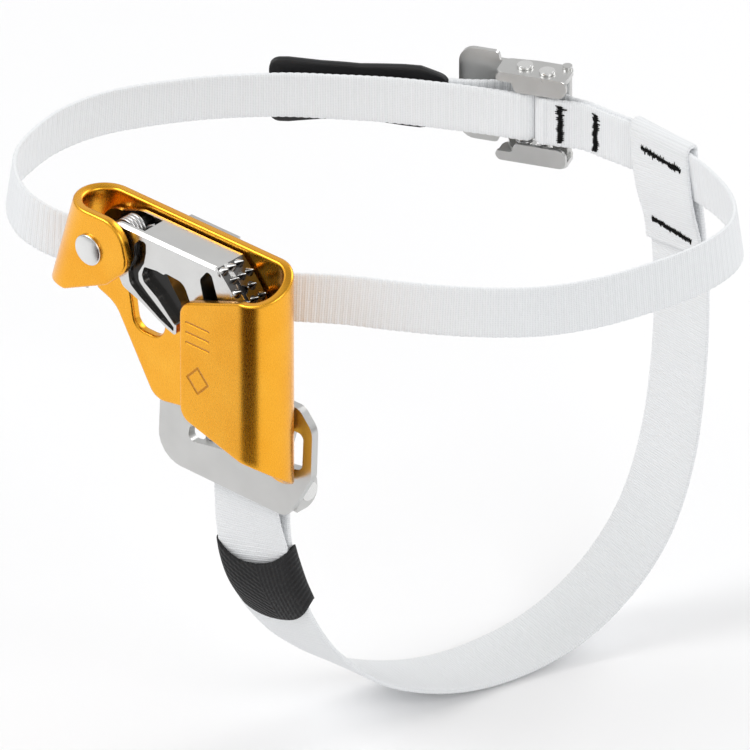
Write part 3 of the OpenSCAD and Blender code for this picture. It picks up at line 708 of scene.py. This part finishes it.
def zigzag(start, end, face, amplitude, pitch, seed):
    """A bar tack's thread on one face: it swings from side to side from start to end."""
    chance = np.random.default_rng(seed)
    start, end, face = (np.asarray(v, float) for v in (start, end, face))
    along = unit(end - start)
    side = unit(np.cross(along, face))
    count = int(np.linalg.norm(end - start) / pitch)
    lines = []
    for k in range(count + 1):
        sign = 1 if k % 2 else -1
        swing = amplitude * (0.55 + 0.8 * chance.random())
        if chance.random() < 0.1:
            swing *= 1.45
        here = start + (end - start) * k / count
        rise = face * 0.12 * chance.random()
        lines += [here + side * sign * swing * 0.55 + rise + face * 0.14,
                  here + side * sign * swing - face * 0.1]
    return np.array(lines)


def tube(path, radius, sides=8):
    """Points and faces of a round tube along a path."""
    path = np.asarray(path, float)
    tangent = unit(np.vstack([path[1:], path[-1:]]) - np.vstack([path[:1], path[:-1]]))
    side = unit(np.cross(tangent, [0.13, 1, 0.07]))
    up = np.cross(tangent, side)
    turn = np.linspace(0, 2 * math.pi, sides, endpoint=False)
    ring = np.cos(turn)[None, :, None] * side[:, None] + np.sin(turn)[None, :, None] * up[:, None]
    return (path[:, None] + radius * ring).reshape(-1, 3), ring_faces(len(path), sides)


def joined(parts):
    """One list of points and faces from several."""
    points, faces, base = [], [], 0
    for p, f in parts:
        points.append(p)
        faces += [tuple(i + base for i in one) for one in f]
        base += len(p)
    return np.vstack(points), faces


def tack_face(here, reach, face, seed, core_rings):
    """One face of a bar tack, from here - reach to here + reach: a zigzag of thread over a tight core."""
    core_r, thread_r, swing, pitch = 0.38, 0.2, 1.15, 0.34
    start, end = here - reach, here + reach
    return [tube(zigzag(start, end, face, swing, pitch, seed), thread_r, 6),
            tube(np.linspace(start, end, core_rings), core_r, 8)]


def make_tacks(material):
    """Black bar tacks on both faces of both sewn ends."""
    along = np.array([math.cos(BUCKLE_TURN), math.sin(BUCKLE_TURN), 0])
    outward = np.array([-math.sin(BUCKLE_TURN), math.cos(BUCKLE_TURN), 0])
    reach = np.array([0, 0, 6.5])
    parts, seed = [], 1
    for u, low_w, high_w, slope in [(12.8, -0.3, 3.85, 0.0), (25, -1.8, 0.25, -0.34)]:
        for w, side in [(low_w, -1), (high_w, 1)]:
            seed += 1
            face = side * unit(outward - slope * along)
            here = np.array(buckle_point(u, w)[:3]) + face * WEB_T / 2
            parts += tack_face(here, reach, face, seed, 30)
    make_mesh("ankle_tack_thread", *joined(parts), material, "black_thread", ["ankle_bartacks"])

    tilt = math.radians(4)
    reach = np.array([math.cos(tilt), -math.sin(tilt), -math.tan(tilt)]) * 8.6
    parts = []
    for x, z, low_y, high_y in [(20.7, 17.3, 160.2, 164.4), (24.1, -7, 161.6, 163.7)]:
        for y, side in [(low_y, -1), (high_y, 1)]:
            seed += 1
            face = np.array([0, side, 0.0])
            here = np.array([x, y, z]) + face * WEB_T / 2
            parts += tack_face(here, reach, face, seed, 40)
    make_mesh("foot_tack_thread", *joined(parts), material, "black_thread", ["foot_bartacks"])


def make_keeper(material):
    """Ribbed elastic sleeve. It bulges, and its two rims dip between pointed corners."""
    route = spline([[-19.1, 16.7, -64.5, 11], [-18.6, 17.3, -69, 13], [-17.6, 18.4, -77, 15],
                    [-16.2, 20.3, -85, 15], [-14.5, 23.4, -93, 13], [-13.6, 26.0, -98.5, 12]], 14)
    rows, at = evenly(with_heading(route), 0.4)
    centre, across, out = section_frames(rows)
    around = np.linspace(0, 2 * math.pi, 72, endpoint=False)
    # A flat oval: close to the strap's edges and fuller at its middle.
    wide = np.sign(np.cos(around)) * np.abs(np.cos(around)) ** 0.55
    deep = np.sign(np.sin(around)) * np.abs(np.sin(around)) ** 0.75
    half_w, half_t, wall = FOOT_W / 2 + 1.0, 3.5, 0.9
    dip, start, end = 6.4, 6.6, at[-1] - 1.6
    share = np.linspace(0, 1, 60)
    ring_points, lay = [], []
    # The outer layer runs down the sleeve, and the inner one back up.
    for layer, steps in ((0, share), (1, share[::-1])):
        for s in steps:
            bulge = 1 + 0.16 * math.sin(math.pi * s) ** 0.8
            corner_lift = dip * (1 - np.abs(wide) ** 2.2)
            reach = np.clip(start + corner_lift + s * (end - start - 0.8 * dip), 0, at[-1])
            c, a, o = (np.column_stack([np.interp(reach, at, v[:, k]) for k in range(3)])
                       for v in (centre, across, out))
            inner = wall * layer * (0.55 if s in (0, 1) else 1)
            ring_points.append(c + a * (wide * (half_w * (1 + 0.02 * (bulge - 1)) - inner))[:, None]
                               + o * (deep * (half_t * bulge - inner))[:, None])
            lay.append(np.column_stack([reach, wide * half_w]))
    points, count = np.vstack(ring_points), len(around)
    rings = len(ring_points)
    faces = ring_faces(rings, count, closed_ends=False)
    last = (rings - 1) * count
    faces += [(last + k, last + (k + 1) % count, (k + 1) % count, k) for k in range(count)]
    make_mesh("elastic_sleeve", points, faces, material, "black_elastic", ["elastic_keeper"], np.vstack(lay))


def make_tab(material):
    """Grip tab on the strap's free end: a bone-shaped outline with a raised rim."""
    route = [(-24.1, 1.9), (-34, 1.0), (-46, -0.6), (-60, -3.4), (-79, -8.7)]
    path = spline([buckle_point(*p) for p in route], 24)
    # About 1 mm outward from the strap's own route.
    path[:, :2] += np.array([-0.4, 0.92])
    rows, at = evenly(np.column_stack([path[:, :3], np.zeros((len(path), 2)), np.ones(len(path))]), 0.5)
    centre, across, out = section_frames(rows)
    length = at[-1]
    half = np.interp(at, [0, 3, 9, 14, 28, 40, length - 6, length],
                     [8.6, 9.0, 10.8, 10.7, 9.7, 10.2, 11.3, 11.2])
    end_r = 3.5
    for end in (at, length - at):
        round_in = np.clip(end / end_r, 0, 1)
        half = half - end_r * (1 - np.sqrt(1 - (1 - round_in) ** 2))
    section = tape_section(21, 4)
    rim = 0.35 * np.exp(-((1 - np.abs(section[:, 0])) / 0.07) ** 2)
    bars = 0.16 * (np.sin(2 * math.pi * at / 2.6) > 0.2)[:, None] * (np.abs(section[:, 0]) < 0.72)[None, :]
    thick = 0.9 + rim[None, :] + bars
    points = (centre[:, None] + section[None, :, 0, None] * (half[:, None, None] * across[:, None])
              + (section[None, :, 1] * thick)[:, :, None] * out[:, None])
    make_mesh("grip_tab", points.reshape(-1, 3), ring_faces(len(rows), len(section)), material,
              "black_plastic", ["strap_end_tab"])


def coil(centre, radius, pitch, start_y, first_deg, last_deg):
    """Points up a coil along Y round an X-Z centre, between two turning angles."""
    angle = np.radians(np.arange(first_deg, last_deg + 1, 8))
    return np.column_stack([centre[0] + radius * np.cos(angle), start_y + pitch * angle / (2 * math.pi),
                            centre[1] + radius * np.sin(angle)])


def make_springs(material):
    """The wire fixed in the frame, and the return spring on its post in the cam, as smooth round wires."""
    wire_y = -2.3
    leg = [[-69.4, wire_y, 7.5], [-67.6, wire_y, 17]]
    path = np.vstack([leg, coil(PIVOT[[0, 2]], 4.6, 1.15, wire_y, 180, 720)])
    make_mesh("cam_spring_wire", *tube(evenly(path, 0.5)[0], 0.5, 14), material, "spring_steel",
              ["cam_spring"])

    start_y, pitch, turns = -3.6, 1.3, 5
    leg_y, end_y = start_y + pitch * 0.75, start_y + pitch * turns
    leg = [[-55.9, leg_y, 23.5], [-55.2, leg_y, 27.2]]
    tail = [[-48.5, end_y, 34.8], [-46, end_y, 36.2]]
    path = np.vstack([leg, coil(DRUM_POST, 4.2, pitch, start_y, 270, 360 * turns), tail])
    make_mesh("drum_spring_wire", *tube(evenly(path, 0.4)[0], 0.6, 14), material, "spring_steel",
              ["drum_spring"], body="cam_body")


def dress(name, material, edge=0.0, smooth_deg=28):
    """A CAD node that keeps its shape: its own material, merged corners and slightly rounded edges."""
    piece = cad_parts[name]
    piece.data.materials.clear()
    piece.data.materials.append(material)
    piece.data.shade_smooth()
    weld = piece.modifiers.new("weld", "WELD")
    weld.merge_threshold = 2e-6
    flatten = piece.modifiers.new("flatten", "DECIMATE")
    flatten.decimate_type, flatten.angle_limit = "DISSOLVE", math.radians(0.6)
    if edge:
        bevel = piece.modifiers.new("edge", "BEVEL")
        bevel.width, bevel.segments = edge * MM, 3
        bevel.limit_method, bevel.angle_limit = "ANGLE", math.radians(smooth_deg)
        bevel.use_clamp_overlap = True
    weigh(piece)


def build():
    add_camera()
    add_studio()
    gold = anodised()
    cast = tumbled_steel("cast_steel", (0.70, 0.70, 0.69), 0.16, 0.30, 1500, 0.00002, cam_shade_and_dark_nose)
    plate = tumbled_steel("plate_steel", (0.62, 0.62, 0.61), 0.24, 0.38, 1600, 0.000016)
    buckle = tumbled_steel("buckle_steel", (0.64, 0.64, 0.63), 0.24, 0.38, 1500, 0.000016)
    turned = tumbled_steel("turned_steel", (0.80, 0.80, 0.79), 0.18, 0.30, 2000, 0.00001)
    sprung = tumbled_steel("spring_steel", (0.62, 0.62, 0.62), 0.22, 0.34, 2000, 0.00001)
    white = woven("white_webbing", (0.84, 0.855, 0.87), 0.8, 0.62, 0.72, 0.25, 0.00010)
    elastic = woven("black_elastic", (0.006, 0.006, 0.007), 1.9, 1.5, 0.7, 0.02, 0.0007, twill=0.9)
    black = moulded_black()
    stitch = thread()

    make_frame(gold)
    ankle, ankle_len = make_tape("ankle_webbing", ankle_rows(16), ANKLE_W, 2.4, 0.17, white, "white_webbing",
                                 "ankle_strap")
    foot, foot_len = make_tape("stirrup_webbing", foot_rows(16), FOOT_W, 1.5, 0.10, white, "white_webbing",
                               "foot_strap")
    make_tacks(stitch)
    make_keeper(elastic)
    make_tab(black)
    make_springs(sprung)

    dress("cam", cast, 0.35)
    dress("strap_plate", plate, 1.25)
    dress("buckle_frame", buckle, 0.3)
    dress("buckle_lever", buckle, 0.4)
    for name in ("cam_bush", "cam_washers", "buckle_roller"):
        dress(name, turned, 0.15)
    for name in ("pivot_rivet", "plate_rivets", "strap_pin", "buckle_pin", "buckle_bar"):
        dress(name, turned, 0.25)
    dress("buckle_spring", sprung)


build()
